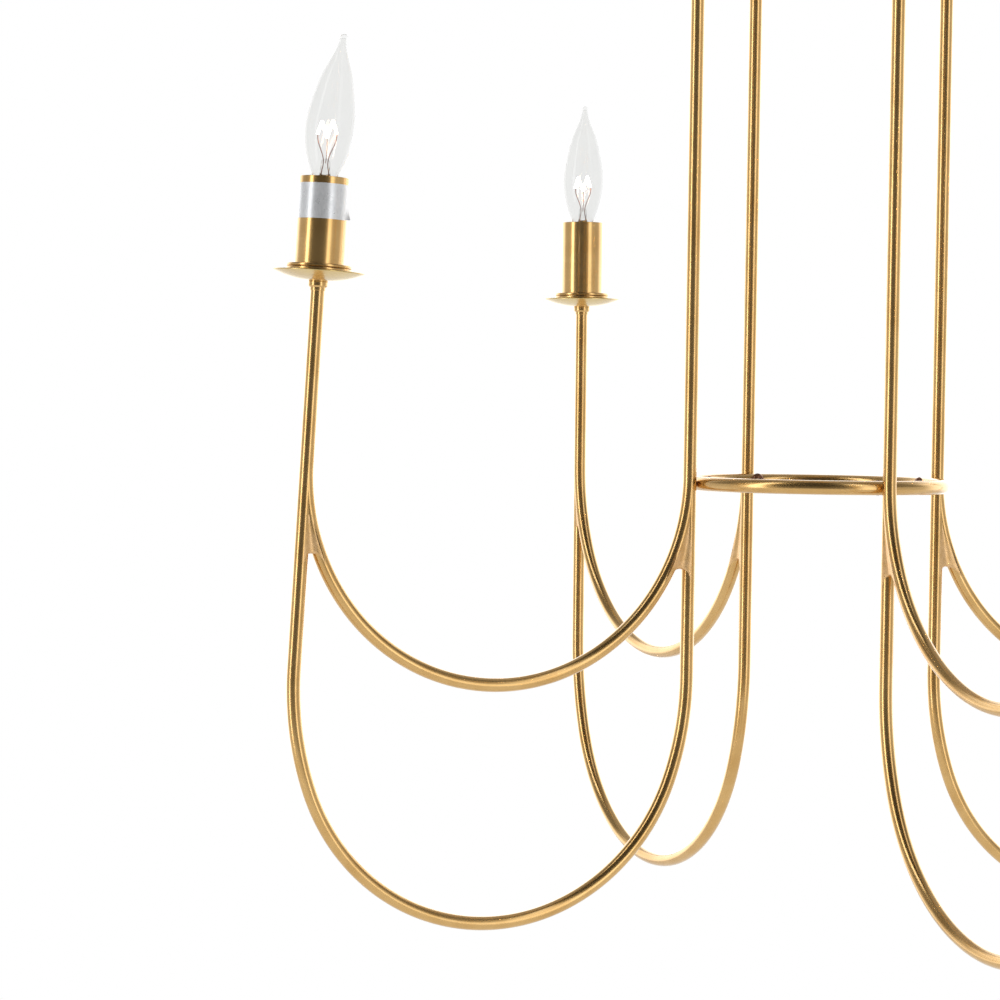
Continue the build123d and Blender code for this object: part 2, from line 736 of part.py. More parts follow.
def canopy():
    """Spun pan with a rounded edge, held up against the ceiling by the collar ring."""
    corner = CANOPY_R - CANOPY_EDGE_R
    slope = CANOPY_EDGE_R * (1 - cos(radians(45)))
    inner_edge = CANOPY_EDGE_R - CANOPY_WALL
    inner_slope = inner_edge * (1 - cos(radians(45)))
    low = -CANOPY_H
    outline = [
        Line((CANOPY_HOLE_R, 0, low), (corner, 0, low)),
        ThreePointArc(
            (corner, 0, low), (CANOPY_R - slope, 0, low + slope), (CANOPY_R, 0, low + CANOPY_EDGE_R)
        ),
        Line((CANOPY_R, 0, low + CANOPY_EDGE_R), (CANOPY_R, 0, 0)),
        Line((CANOPY_R, 0, 0), (CANOPY_R - CANOPY_WALL, 0, 0)),
        Line((CANOPY_R - CANOPY_WALL, 0, 0), (CANOPY_R - CANOPY_WALL, 0, low + CANOPY_EDGE_R)),
        ThreePointArc(
            (CANOPY_R - CANOPY_WALL, 0, low + CANOPY_EDGE_R),
            (CANOPY_R - CANOPY_WALL - inner_slope, 0, low + CANOPY_WALL + inner_slope),
            (corner, 0, low + CANOPY_WALL),
        ),
        Line((corner, 0, low + CANOPY_WALL), (CANOPY_HOLE_R, 0, low + CANOPY_WALL)),
        Line((CANOPY_HOLE_R, 0, low + CANOPY_WALL), (CANOPY_HOLE_R, 0, low)),
    ]
    return revolve(make_face(outline), axis=Axis.Z)


def collar_ring():
    """Knurled ring under the canopy."""
    top = -CANOPY_H
    body = ring_solid(COLLAR_RING_R, COLLAR_RING_BORE_R, top - COLLAR_RING_H, top)
    rims = body.edges().filter_by(GeomType.CIRCLE).sort_by(SortBy.RADIUS)[-2:]
    return chamfer(rims, COLLAR_RING_CHAMFER)


# ---------------------------------------------------------------- write the parts
def main():
    os.makedirs("parts", exist_ok=True)
    arms = list(zip(ARM_ANGLES, ARM_LEANS))

    save("crossbar", crossbar())
    save("pipe_nipple", pipe_nipple())
    save("pipe_nut", pipe_nut())
    save("ground_screw", ground_screw())
    save("swivel_cup", swivel_cup())
    save("cup_pivot_screws", cup_screw(-1), cup_screw(1))
    save("supply_lead", supply_lead())
    save("gimbal_ring", gimbal_ring())
    save("canopy", canopy())
    save("collar_ring", collar_ring())

    save("head_pivot_screws", head_screw(-1), head_screw(1))
    save("stem_head", stem_head())
    save("stem", stem())
    save("stem_nut", stem_nut())
    save("stem_lead", stem_lead())
    save("splice_connectors", splice_connector(-1), splice_connector(1))
    save("hub_body", hub_body())
    save("hub_cap", hub_cap())
    save("finial", finial())
    save("tie_ring", tie_ring())
    save("ring_screws", *[ring_screw(angle) for angle in ARM_ANGLES])
    save("arm_wires", *[arm_wire(angle, lean) for angle, lean in arms])

    shared = {
        "candle_collars": [candle_collar()],
        "dish_spacers": [spacer()],
        "flange_discs": [flange_disc(0), flange_disc(1)],
        "socket_nipples": [socket_nipple()],
        "socket_nuts": [socket_nut()],
        "sockets": [socket_body()],
        "socket_shells": [socket_shell()],
        "socket_contacts": [socket_contact()],
    }
    for name, pieces in shared.items():
        placed = [on_candle(angle, lean) * piece for angle, lean in arms for piece in pieces]
        save(name, *placed)

    own = {
        "dish": dish(),
        "sleeve": sleeve(),
        "bulb_glass": bulb_glass(),
        "bulb_cap": bulb_cap(),
        "bulb_filament": bulb_filament(),
    }
    for number, (angle, lean) in enumerate(arms, start=1):
        save(f"arm_tube_{number}", arm_tube(angle, lean))
        save(f"lower_loop_{number}", lower_loop(angle, lean))
        for name, piece in own.items():
            save(f"{name}_{number}", on_candle(angle, lean) * piece)
        if angle == LABEL_ARM:
            save("foil_label", on_candle(angle, lean) * foil_label())


main()
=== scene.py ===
"""Visual model of the four-arm candle chandelier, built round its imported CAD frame.  Metres, +Z up."""
import json
import math

import bmesh
import bpy
from mathutils import Matrix, Vector


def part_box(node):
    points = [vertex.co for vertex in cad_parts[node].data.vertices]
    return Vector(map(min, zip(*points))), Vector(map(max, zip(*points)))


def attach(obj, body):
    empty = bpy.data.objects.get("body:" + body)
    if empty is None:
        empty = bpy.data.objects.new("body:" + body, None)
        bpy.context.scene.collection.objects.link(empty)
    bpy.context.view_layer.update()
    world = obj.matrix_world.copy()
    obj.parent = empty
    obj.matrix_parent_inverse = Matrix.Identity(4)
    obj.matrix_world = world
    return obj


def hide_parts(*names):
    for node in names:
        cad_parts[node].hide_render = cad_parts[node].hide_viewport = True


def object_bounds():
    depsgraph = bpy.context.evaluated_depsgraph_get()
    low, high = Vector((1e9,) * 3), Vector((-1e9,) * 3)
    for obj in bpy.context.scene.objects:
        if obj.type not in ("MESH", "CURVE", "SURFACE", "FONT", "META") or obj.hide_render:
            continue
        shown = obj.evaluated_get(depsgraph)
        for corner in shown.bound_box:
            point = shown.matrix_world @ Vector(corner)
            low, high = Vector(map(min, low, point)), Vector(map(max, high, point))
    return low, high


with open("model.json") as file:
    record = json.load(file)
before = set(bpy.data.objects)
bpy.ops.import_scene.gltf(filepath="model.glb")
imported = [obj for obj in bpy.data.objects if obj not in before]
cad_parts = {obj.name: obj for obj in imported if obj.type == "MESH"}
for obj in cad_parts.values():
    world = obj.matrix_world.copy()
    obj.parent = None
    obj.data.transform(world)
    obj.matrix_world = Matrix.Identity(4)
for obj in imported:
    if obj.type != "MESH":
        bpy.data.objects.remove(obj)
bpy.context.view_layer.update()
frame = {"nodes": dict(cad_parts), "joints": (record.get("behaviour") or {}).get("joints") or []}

JOINTS = {joint["name"]: joint for joint in frame["joints"]}
ARMS = (1, 2, 3, 4)
Y_AXIS = Vector((0, 1, 0))

# ---------------------------------------------------------------- sizes shared by the pieces
# An arm's heights are from the ring plane, and a candle's from the end of its arm's tube.
TUBE_R = 0.0045
ROD_X = 0.095                       # from the light's own axis to a rod's middle line
TIP_X = 0.3645                      # and to an outer upright's, at the ring plane
ROD_RISE = 0.430                    # height of a rod's end in the hub
HUB_BORE_R = 0.015                  # distance of that end from the axis
HUB_BEND_R = 0.075
UPPER_TANGENT = 0.005               # height where the upper loop's arc starts
LOWER_TANGENT = -0.127              # and the lower loop's
LOWER_BOTTOM = -0.2827
LOWER_SHOULDER = math.radians(20)   # turn of each side arc of the lower loop
CANDLE_BASE = 0.1215                # end of the arm's tube
SLEEVE_R = 0.01575
SLEEVE_LOW, SLEEVE_TOP = 0.0142, 0.0685
SHEET = 0.0008                      # wall of a sleeve and of a dish
GRID_UV = 0.001                     # texture step between the points of a web or a label


def middle(node):
    low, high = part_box(node)
    return (low + high) / 2


RING_Z = middle("tie_ring").z


def arm_angle(arm):
    centre = middle(f"sleeve_{arm}")
    return math.atan2(centre.y, centre.x)


def candle_axis(arm):
    return Vector(JOINTS[f"bulb_{arm}_lift"]["axis"]).normalized()


def arm_lean(arm):
    """Angle that an arm's outer upright leans in towards the middle, in radians."""
    outward = Vector((math.cos(arm_angle(arm)), math.sin(arm_angle(arm)), 0))
    return -math.asin(candle_axis(arm).dot(outward))


def arm_matrix(arm):
    """From the arm's own plane (X out, Z up, zero at the ring plane) to the model's frame."""
    return Matrix.Translation((0, 0, RING_Z)) @ Matrix.Rotation(arm_angle(arm), 4, "Z")


def candle_matrix(arm):
    """From upright candle coordinates, zero at the end of the arm's tube, to the model's frame."""
    base = middle(f"sleeve_{arm}") - candle_axis(arm) * (SLEEVE_LOW + SLEEVE_TOP) / 2
    turn = Matrix.Rotation(arm_angle(arm), 4, "Z") @ Matrix.Rotation(-arm_lean(arm), 4, "Y")
    return Matrix.Translation(base) @ turn


# ---------------------------------------------------------------- mesh builders
TUBE_SIDES = 40
RIM_ANGLE = 50              # degrees; the rim of a closed end is sharper than this
WELD_DISTANCE = 1e-7
UV_MIN_R = 0.002            # keeps a turned piece's texture from closing up at its axis


def add_object(name, data):
    obj = bpy.data.objects.new(name, data)
    bpy.context.scene.collection.objects.link(obj)
    return obj


def grid_object(name, rows, row_uvs, matrix, wrap=False):
    """Smooth surface through rows of points of equal length, placed by the matrix.  wrap joins each row's
    end to its start.  row_uvs holds (u, v) in metres for each point, and once more for a wrapped start."""
    width = len(rows[0])
    faces = []
    uvs = []
    for i in range(len(rows) - 1):
        here, there = row_uvs[i], row_uvs[i + 1]
        for j in range(width if wrap else width - 1):
            k = (j + 1) % width
            faces.append((i * width + j, i * width + k, (i + 1) * width + k, (i + 1) * width + j))
            uvs += [here[j], here[j + 1], there[j + 1], there[j]]
    mesh = bpy.data.meshes.new(name)
    mesh.from_pydata([tuple(matrix @ point) for row in rows for point in row], [], faces)
    layer = mesh.uv_layers.new(name="UVMap")
    for loop, uv in zip(layer.data, uvs):
        loop.uv = uv
    mesh.polygons.foreach_set("use_smooth", [True] * len(mesh.polygons))
    mesh.update()
    return add_object(name, mesh)


def join_objects(name, pieces):
    """One object from several, with their UVs and materials."""
    for obj in bpy.context.selected_objects:
        obj.select_set(False)
    for piece in pieces:
        piece.select_set(True)
    bpy.context.view_layer.objects.active = pieces[0]
    bpy.ops.object.join()
    joined = bpy.context.view_layer.objects.active
    joined.select_set(False)
    joined.name = name
    joined.data.name = name
    return joined


def mark_sharp(obj, degrees):
    """Edges that turn more than this stay crisp under smooth shading."""
    obj.data.set_sharp_from_angle(angle=math.radians(degrees))


def close_ends(obj):
    """Fills open ends with a flat face, leaves their rims crisp and turns every face outwards."""
    mesh = bmesh.new()
    mesh.from_mesh(obj.data)
    edges = [edge for edge in mesh.edges if edge.is_boundary]
    bmesh.ops.holes_fill(mesh, edges=edges, sides=0)
    bmesh.ops.recalc_face_normals(mesh, faces=mesh.faces)
    mesh.to_mesh(obj.data)
    mesh.free()
    mark_sharp(obj, RIM_ANGLE)


def weld(obj):
    """Joins points that lie together, drops the faces this leaves empty and turns the rest outwards."""
    mesh = bmesh.new()
    mesh.from_mesh(obj.data)
    bmesh.ops.remove_doubles(mesh, verts=mesh.verts, dist=WELD_DISTANCE)
    bmesh.ops.dissolve_degenerate(mesh, edges=mesh.edges, dist=WELD_DISTANCE)
    bmesh.ops.recalc_face_normals(mesh, faces=mesh.faces)
    mesh.to_mesh(obj.data)
    mesh.free()


def sweep_tube(name, path, matrix):
    """Arm tube with closed ends, along (x, z) points in the arm's own plane."""
    rows = []
    row_uvs = []
    length = 0.0
    for i, (x, z) in enumerate(path):
        before = path[max(i - 1, 0)]
        after = path[min(i + 1, len(path) - 1)]
        along = Vector((after[0] - before[0], 0, after[1] - before[1])).normalized()
        across = Vector((along.z, 0, -along.x))
        length += math.hypot(x - before[0], z - before[1])
        row = []
        for j in range(TUBE_SIDES):
            angle = 2 * math.pi * j / TUBE_SIDES
            side = math.cos(angle) * across + math.sin(angle) * Y_AXIS
            row.append(Vector((x, 0, z)) + TUBE_R * side)
        rows.append(row)
        row_uvs.append([(length, 2 * math.pi * TUBE_R * j / TUBE_SIDES) for j in range(TUBE_SIDES + 1)])
    obj = grid_object(name, rows, row_uvs, matrix, wrap=True)
    close_ends(obj)
    return obj


def lathe(name, outline, matrix, sides, sharp=35, shape=None):
    """Surface turned about Z from an outline of (radius, height) points.  Edges that turn more than sharp
    degrees stay crisp, and shape(point) may move each point."""
    rows = []
    row_uvs = []
    length = 0.0
    for i, (radius, height) in enumerate(outline):
        before = outline[max(i - 1, 0)]
        length += math.hypot(radius - before[0], height - before[1])
        row = []
        for j in range(sides):
            angle = 2 * math.pi * j / sides
            point = Vector((radius * math.cos(angle), radius * math.sin(angle), height))
            row.append(shape(point) if shape else point)
        rows.append(row)
        reach = max(radius, UV_MIN_R)
        row_uvs.append([(2 * math.pi * reach * j / sides, length) for j in range(sides + 1)])
    obj = grid_object(name, rows, row_uvs, matrix, wrap=True)
    weld(obj)
    mark_sharp(obj, sharp)
    return obj


def smooth_curve(points, steps):
    """Catmull-Rom curve through tuples of numbers, in this many steps from each point to the next."""
    padded = [points[0], *points, points[-1]]
    result = []
    for i in range(1, len(padded) - 2):
        for k in range(steps):
            t = k / steps
            result.append(tuple(
                0.5 * (2 * b + (c - a) * t + (2 * a - 5 * b + 4 * c - d) * t * t
                       + (3 * b - a - 3 * c + d) * t ** 3)
                for a, b, c, d in zip(*padded[i - 1:i + 3])
            ))
    result.append(tuple(points[-1]))
    return result


# ---------------------------------------------------------------- arm centrelines
LINE_STEP = 0.006
BEND_STEP = math.radians(1.5)


class Pen:
    """Points of a chain of tangent lines and arcs in the arm's plane."""

    def __init__(self, x, z, heading):
        self.x = x
        self.z = z
        self.heading = heading
        self.points = [(x, z)]

    def line(self, length):
        count = max(2, math.ceil(length / LINE_STEP))
        for i in range(1, count + 1):
            share = length * i / count
            x = self.x + share * math.cos(self.heading)
            z = self.z + share * math.sin(self.heading)
            self.points.append((x, z))
        self.x, self.z = self.points[-1]

    def bend(self, radius, angle):
        """Arc to the left where the angle is positive, and to the right where it is negative."""
        side = 1 if angle > 0 else -1
        centre_x = self.x - side * radius * math.sin(self.heading)
        centre_z = self.z + side * radius * math.cos(self.heading)
        count = max(2, math.ceil(abs(angle) / BEND_STEP))
        for i in range(1, count + 1):
            heading = self.heading + angle * i / count
            x = centre_x + side * radius * math.sin(heading)
            z = centre_z - side * radius * math.cos(heading)
            self.points.append((x, z))
        self.x, self.z = self.points[-1]
        self.heading += angle


def upper_radius(lean):
    """Radius of the arc that is tangent to the rod and to the leaning upright."""
    return (TIP_X - ROD_X - UPPER_TANGENT * math.tan(lean)) / (1 + 1 / math.cos(lean))


def arm_path(lean):
    """From the hub down the rod, round the upper loop and up to the candle."""
    pen = Pen(HUB_BORE_R, ROD_RISE, 0)
    pen.line(ROD_X - HUB_BEND_R - HUB_BORE_R)
    pen.bend(HUB_BEND_R, -math.pi / 2)
    pen.line(ROD_RISE - HUB_BEND_R - UPPER_TANGENT)
    pen.bend(upper_radius(lean), math.pi + lean)
    pen.line((CANDLE_BASE - pen.z) / math.cos(lean))
    return pen.points


def lower_path(lean):
    """From the foot of the straight rod down, round two side arcs with a bottom arc between them, and up
    into the upright.  The radii follow from the width at the tangents and from the depth."""
    cosine, sine = math.cos(LOWER_SHOULDER), math.sin(LOWER_SHOULDER)
    across = TIP_X - ROD_X - LOWER_TANGENT * math.tan(lean)
    down = LOWER_TANGENT - LOWER_BOTTOM
    side_share = 1 - 2 * cosine + 1 / math.cos(lean)
    bottom_radius = (across * sine - down * side_share) / (2 * cosine * sine - (1 - sine) * side_share)
    side_radius = (down - bottom_radius * (1 - sine)) / sine
    outer_top = UPPER_TANGENT + upper_radius(lean) * math.sin(lean)
    pen = Pen(ROD_X, UPPER_TANGENT, -math.pi / 2)
    pen.line(UPPER_TANGENT - LOWER_TANGENT)
    pen.bend(side_radius, LOWER_SHOULDER)
    pen.bend(bottom_radius, math.pi - 2 * LOWER_SHOULDER)
    pen.bend(side_radius, LOWER_SHOULDER + lean)
    pen.line((outer_top - pen.z) / math.cos(lean))
    return pen.points


# ---------------------------------------------------------------- material builders
def rgb(red, green, blue):
    """Linear colour from 0 to 255 display values."""
    channels = []
    for value in (red, green, blue):
        share = value / 255
        channels.append(share / 12.92 if share <= 0.04045 else ((share + 0.055) / 1.055) ** 2.4)
    return (*channels, 1.0)


class Nodes:
    """Short calls for the nodes of one node tree."""

    def __init__(self, tree):
        self.tree = tree

    def add(self, kind, **settings):
        node = self.tree.nodes.new(kind)
        for key, value in settings.items():
            setattr(node, key, value)
        return node

    def feed(self, socket, value):
        """Sets a socket to a number or a colour, or links an output to it."""
        if isinstance(value, (int, float, tuple)):
            socket.default_value = value
        else:
            self.tree.links.new(value, socket)

    def math(self, operation, *values):
        node = self.add("ShaderNodeMath", operation=operation)
        for socket, value in zip(node.inputs, values):
            self.feed(socket, value)
        return node.outputs["Value"]

    def mix(self, share, first, second):
        """Colour between two.  A mix node's colour sockets can only be told apart by number."""
        node = self.add("ShaderNodeMix", data_type="RGBA")
        for number, value in ((0, share), (6, first), (7, second)):
            self.feed(node.inputs[number], value)
        return node.outputs[2]

    def ramp(self, source, *stops):
        """Colour ramp; each stop is (place from 0 to 1, colour or grey level)."""
        node = self.add("ShaderNodeValToRGB")
        elements = node.color_ramp.elements
        while len(elements) < len(stops):
            elements.new(0.5)
        for element, (place, colour) in zip(elements, stops):
            element.position = place
            element.color = colour if isinstance(colour, tuple) else (colour, colour, colour, 1.0)
        self.feed(node.inputs["Fac"], source)
        return node.outputs["Color"]


class Shader(Nodes):
    """A material with one Principled shader."""

    def __init__(self, name):
        self.material = bpy.data.materials.new(name)
        self.material.use_nodes = True
        super().__init__(self.material.node_tree)
        self.surface = self.tree.nodes["Principled BSDF"]

    def set(self, **values):
        """Feeds sockets of the shader, with _ for the space in a socket's name."""
        for key, value in values.items():
            self.feed(self.surface.inputs[key.replace("_", " ")], value)

    def noise(self, source, scale, detail, rough=0.5):
        """Noise over the "UV" or "Object" position.  scale is one number, or one for each axis."""
        mapping = self.add("ShaderNodeMapping")
        mapping.inputs["Scale"].default_value = scale if isinstance(scale, tuple) else (scale, scale, scale)
        self.feed(mapping.inputs["Vector"], self.add("ShaderNodeTexCoord").outputs[source])
        node = self.add("ShaderNodeTexNoise")
        self.feed(node.inputs["Vector"], mapping.outputs["Vector"])
        self.feed(node.inputs["Scale"], 1.0)
        self.feed(node.inputs["Detail"], detail)
        self.feed(node.inputs["Roughness"], rough)
        return node.outputs["Fac"]

    def bump(self, height, strength, distance=0.0002):
        node = self.add("ShaderNodeBump")
        self.feed(node.inputs["Height"], height)
        self.feed(node.inputs["Strength"], strength)
        self.feed(node.inputs["Distance"], distance)
        self.set(Normal=node.outputs["Normal"])


BRASS_LIGHT = rgb(222, 180, 112)
BRASS_MID = rgb(208, 163, 92)
BRASS_DARK = rgb(158, 112, 52)
WORN_SHARE = 0.22
TARNISH_SHARE = 0.30
TURNED_BRUSH = (10, 3000, 1)        # brush marks round a turned piece


def brass(name, source, brush, smooth_at=0.17, rough_at=0.30, tones=(BRASS_MID, BRASS_LIGHT, BRASS_DARK)):
    """Lacquered antique brass.  brush is the texture scale, smallest along the brush marks."""
    shader = Shader(name)
    middle_tone, light_tone, dark_tone = tones
    streaks = shader.noise(source, brush, detail=4.0, rough=0.62)
    clouds = shader.noise("Object", 38, detail=4.0)
    tone = shader.ramp(clouds, (0.30, middle_tone), (0.58, light_tone), (0.82, middle_tone))
    worn = shader.ramp(streaks, (0.30, 1.0), (0.46, 0.0))
    brushed = shader.mix(shader.math("MULTIPLY", worn, WORN_SHARE), tone, dark_tone)
    specks = shader.ramp(shader.noise("Object", 900, detail=2.0), (0.18, 1.0), (0.24, 0.0))
    tarnish = shader.math("MULTIPLY", specks, TARNISH_SHARE)
    shader.set(
        Metallic=1.0, Coat_Weight=1.0, Coat_Roughness=0.1, Coat_IOR=1.5,
        Base_Color=shader.mix(tarnish, brushed, dark_tone),
        Roughness=shader.ramp(streaks, (0.25, rough_at), (0.75, smooth_at)),
    )
    shader.bump(shader.math("SUBTRACT", shader.math("MULTIPLY", streaks, 0.5), tarnish), 0.012)
    return shader.material


def ground_brass():
    """Brazing filed and sanded flush: duller and paler, with pits and short random scratches."""
    shader = Shader("ground_brass")
    clouds = shader.noise("Object", (160, 160, 110), detail=5.0)
    tone = shader.ramp(
        clouds, (0.30, rgb(214, 172, 112)), (0.55, rgb(230, 190, 138)), (0.80, rgb(210, 168, 106)),
    )
    pits = shader.ramp(shader.noise("Object", 1100, detail=1.5), (0.22, 1.0), (0.28, 0.0))
    scratches = shader.noise("Object", (700, 700, 90), detail=4.0)
    shader.set(
        Metallic=1.0, Coat_Weight=0.2, Coat_Roughness=0.2, Coat_IOR=1.5,
        Base_Color=shader.mix(shader.math("MULTIPLY", pits, 0.55), tone, rgb(130, 88, 48)),
        Roughness=shader.ramp(scratches, (0.25, 0.44), (0.75, 0.32)),
    )
    shader.bump(shader.math("SUBTRACT", shader.math("MULTIPLY", scratches, 0.5), pits), 0.08)
    return shader.material


def clear_glass():
    """Thin clear glass with a faint unevenness in its tint and its surface."""
    shader = Shader("clear_glass")
    waves = shader.noise("Object", (60, 60, 22), detail=1.0)
    tint = shader.ramp(waves, (0.30, (0.900, 0.903, 0.898, 1)), (0.70, (0.925, 0.926, 0.918, 1)))
    shader.set(Roughness=0.0, IOR=1.3, Transmission_Weight=1.0, Base_Color=tint)
    shader.bump(waves, 0.02, 0.0004)
    return shader.material


def glowing_filament():
    """Lit wire, hotter in some places than in others."""
    shader = Shader("glowing_filament")
    heat = shader.noise("Object", 260, detail=1.0)
    glow = shader.ramp(heat, (0.30, rgb(255, 206, 162)), (0.65, rgb(255, 240, 222)))
    shader.set(Base_Color=rgb(255, 226, 190), Roughness=0.5, Emission_Strength=26.0, Emission_Color=glow)
    return shader.material


def plain_metal(name, light, dark, smooth_at, rough_at, grain=420):
    """Bare or plated metal with a fine mottled grain."""
    shader = Shader(name)
    grains = shader.noise("Object", grain, detail=4.0, rough=0.6)
    shader.set(
        Metallic=1.0,
        Base_Color=shader.ramp(grains, (0.3, dark), (0.7, light)),
        Roughness=shader.ramp(grains, (0.3, rough_at), (0.7, smooth_at)),
    )
    shader.bump(grains, 0.12)
    return shader.material


def moulded(name, light, dark, rough):
    """Moulded plastic or rubber with a slight texture."""
    shader = Shader(name)
    grains = shader.noise("Object", 600, detail=3.0)
    shader.set(
        Base_Color=shader.ramp(grains, (0.3, dark), (0.7, light)),
        Roughness=shader.ramp(grains, (0.3, rough + 0.08), (0.7, rough)),
    )
    shader.bump(grains, 0.1)
    return shader.material


def silver_foil():
    """Blank metallised paper label with faint creases."""
    shader = Shader("silver_foil")
    fibres = shader.noise("Object", (900, 900, 300), detail=3.0)
    creases = shader.noise("Object", (90, 90, 160), detail=2.0)
    shader.set(
        Metallic=0.6,
        Base_Color=shader.ramp(fibres, (0.3, rgb(208, 210, 212)), (0.7, rgb(224, 225, 227))),
        Roughness=shader.ramp(creases, (0.3, 0.36), (0.7, 0.26)),
    )
    shader.bump(creases, 0.15, 0.0003)
    return shader.material


BRASS_TUBE = brass("brushed_brass_tube", "UV", (14, 2300, 1))
BRASS_TURNED = brass("turned_brass_piece", "UV", TURNED_BRUSH, smooth_at=0.16, rough_at=0.27)
BRASS_CAD = brass("brushed_brass_cad", "Object", (160, 160, 2200), smooth_at=0.18, rough_at=0.30)
BRASS_RING = brass("satin_brass_ring", "UV", TURNED_BRUSH, smooth_at=0.19, rough_at=0.31)
BRASS_DISH = brass("turned_brass_dish", "UV", TURNED_BRUSH, smooth_at=0.20, rough_at=0.34,
                   tones=(rgb(218, 184, 112), rgb(230, 202, 132), rgb(176, 136, 72)))
BRASS_GROUND = ground_brass()
GLASS = clear_glass()
FILAMENT = glowing_filament()
NICKEL = plain_metal("nickel_plate", rgb(205, 200, 190), rgb(168, 160, 148), 0.18, 0.30)
COPPER = plain_metal("copper_wire", rgb(150, 96, 74), rgb(112, 66, 50), 0.30, 0.42)
ZINC = plain_metal("zinc_plated_steel", rgb(196, 198, 200), rgb(150, 152, 150), 0.28, 0.46, grain=240)
DARK_SCREW = plain_metal("dark_bronze_screw", rgb(150, 108, 82), rgb(104, 70, 52), 0.34, 0.48)
LEAD_SHEATH = moulded("lead_sheath_rubber", rgb(226, 220, 204), rgb(206, 198, 180), 0.42)
CONNECTOR = moulded("connector_plastic", rgb(196, 70, 48), rgb(172, 54, 36), 0.34)
SOCKET_PLASTIC = moulded("socket_phenolic", rgb(238, 234, 222), rgb(214, 208, 192), 0.38)
FOIL = silver_foil()

SLOT_MATERIALS = {
    "brushed_brass": BRASS_CAD,
    "turned_brass": BRASS_CAD,
    "clear_glass": GLASS,
    "filament": FILAMENT,
    "nickel": NICKEL,
    "zinc_steel": ZINC,
    "dark_screw": DARK_SCREW,
    "lead_sheath": LEAD_SHEATH,
    "connector_cap": CONNECTOR,
    "socket_plastic": SOCKET_PLASTIC,
    "foil": FOIL,
}

for node in frame["nodes"].values():
    for slot in node.material_slots:
        slot.material = SLOT_MATERIALS[slot.material.name]


def finish_piece(obj, body, slot, material, *nodes):
    """Gives a piece its finish, its body and the CAD nodes that it stands for.  A material of None leaves
    the piece the materials that it has."""
    if material:
        obj.data.materials.clear()
        obj.data.materials.append(material)
    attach(obj, body)
    if nodes:
        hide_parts(*nodes)


# ---------------------------------------------------------------- arms
WEB_TOP = -0.020
WEB_ENDS = {"inner": -0.058, "outer": -0.045}
WEB_ARCH = {"inner": 0.0032, "outer": 0.0018}       # rise of the crotch's middle above its end
WEB_TAIL = 0.007            # how far the web's two sides run on down the tubes
WEB_EDGE = 0.0012           # how far the crotch's rounded edge bulges down
WEB_SAG, WEB_SAG_SHARE = 0.0011, 0.09               # hollow of each face: the most, and share of the gap
WEB_ACROSS, WEB_DOWN, WEB_ROUND = 14, 22, 8         # points across, down and round the edge


def loop_x(z, lean, side):
    """The upper loop's middle line at height z, on its inner or its outer side."""
    radius = upper_radius(lean)
    reach = math.sqrt(radius ** 2 - (UPPER_TANGENT - z) ** 2)
    return ROD_X + radius + (reach if side == "outer" else -reach)


def brazed_web(name, lean, side, matrix):
    """Ground fillet between the tubes: level with both tubes' crests, a little hollow between them,
    and ending in a rounded crotch."""

    def row_at(down, lift, drop):
        """down runs from the top to the end; lift is the share of the thickness; drop lowers the edge."""
        row = []
        for j in range(WEB_ACROSS + 1):
            t = j / WEB_ACROSS
            off_middle = abs(2 * t - 1)
            bottom = WEB_ENDS[side] + WEB_ARCH[side] * (1 - off_middle ** 2) - WEB_TAIL * off_middle ** 5
            z = WEB_TOP + (bottom - WEB_TOP) * down
            straight = TIP_X - z * math.tan(lean) if side == "outer" else ROD_X
            gap = loop_x(z, lean, side) - straight
            sag = min(WEB_SAG, WEB_SAG_SHARE * abs(gap)) * math.sin(math.pi * t) ** 2
            row.append(Vector((straight + gap * t, lift * (TUBE_R - sag), z - drop)))
        return row

    rows = [row_at(i / WEB_DOWN, 1.0, 0.0) for i in range(WEB_DOWN + 1)]
    for i in range(1, WEB_ROUND):
        angle = math.pi * i / WEB_ROUND
        rows.append(row_at(1.0, math.cos(angle), WEB_EDGE * math.sin(angle)))
    rows += [row_at(i / WEB_DOWN, -1.0, 0.0) for i in range(WEB_DOWN, -1, -1)]
    row_uvs = [[(GRID_UV * i, GRID_UV * j) for j in range(WEB_ACROSS + 1)] for i in range(len(rows))]
    obj = grid_object(name, rows, row_uvs, matrix)
    close_ends(obj)
    obj.data.materials.append(BRASS_GROUND)
    return obj


for arm in ARMS:
    lean, matrix = arm_lean(arm), arm_matrix(arm)
    tube = sweep_tube(f"arm_{arm}_tube", arm_path(lean), matrix)
    finish_piece(tube, "fixture", "brushed_brass", BRASS_TUBE, f"arm_tube_{arm}")
    loop = sweep_tube(f"arm_{arm}_loop", lower_path(lean), matrix)
    loop.data.materials.append(BRASS_TUBE)
    webs = [brazed_web(f"arm_{arm}_{side}_web", lean, side, matrix) for side in ("inner", "outer")]
    joined = join_objects(f"arm_{arm}_lower_loop", [loop, *webs])
    finish_piece(joined, "fixture", "brushed_brass", None, f"lower_loop_{arm}")


# ---------------------------------------------------------------- ring and screws
RING_TUBE_R = 0.00465
RING_GAP = 0.00005
RING_R = ROD_X - TUBE_R - RING_TUBE_R - RING_GAP
RING_STEPS = 48

SCREW_SEAT_GAP = 0.00017            # the flat head meets the ring's inner curve only at its two sides
SCREW_HEAD_R, SCREW_HEAD_H = 0.0050, 0.0038
SHANK_R, SHANK_LENGTH = 0.0019, 0.010
EDGE_IN, EDGE_UP = 0.0002, 0.0003   # chamfer round the head's flat side
DOME_START, DOME_TURN, DOME_STEPS = 8, 62, 8        # degrees of the head's elliptical dome
DOME_SPREAD = 0.00004
RECESS_R, RECESS_DEPTH = 0.0018, 0.0018
RECESS_RIM = 0.985                  # share of the head's height
HEXAGON_SHARE = 0.93                # half width across flats, as a share of the round recess

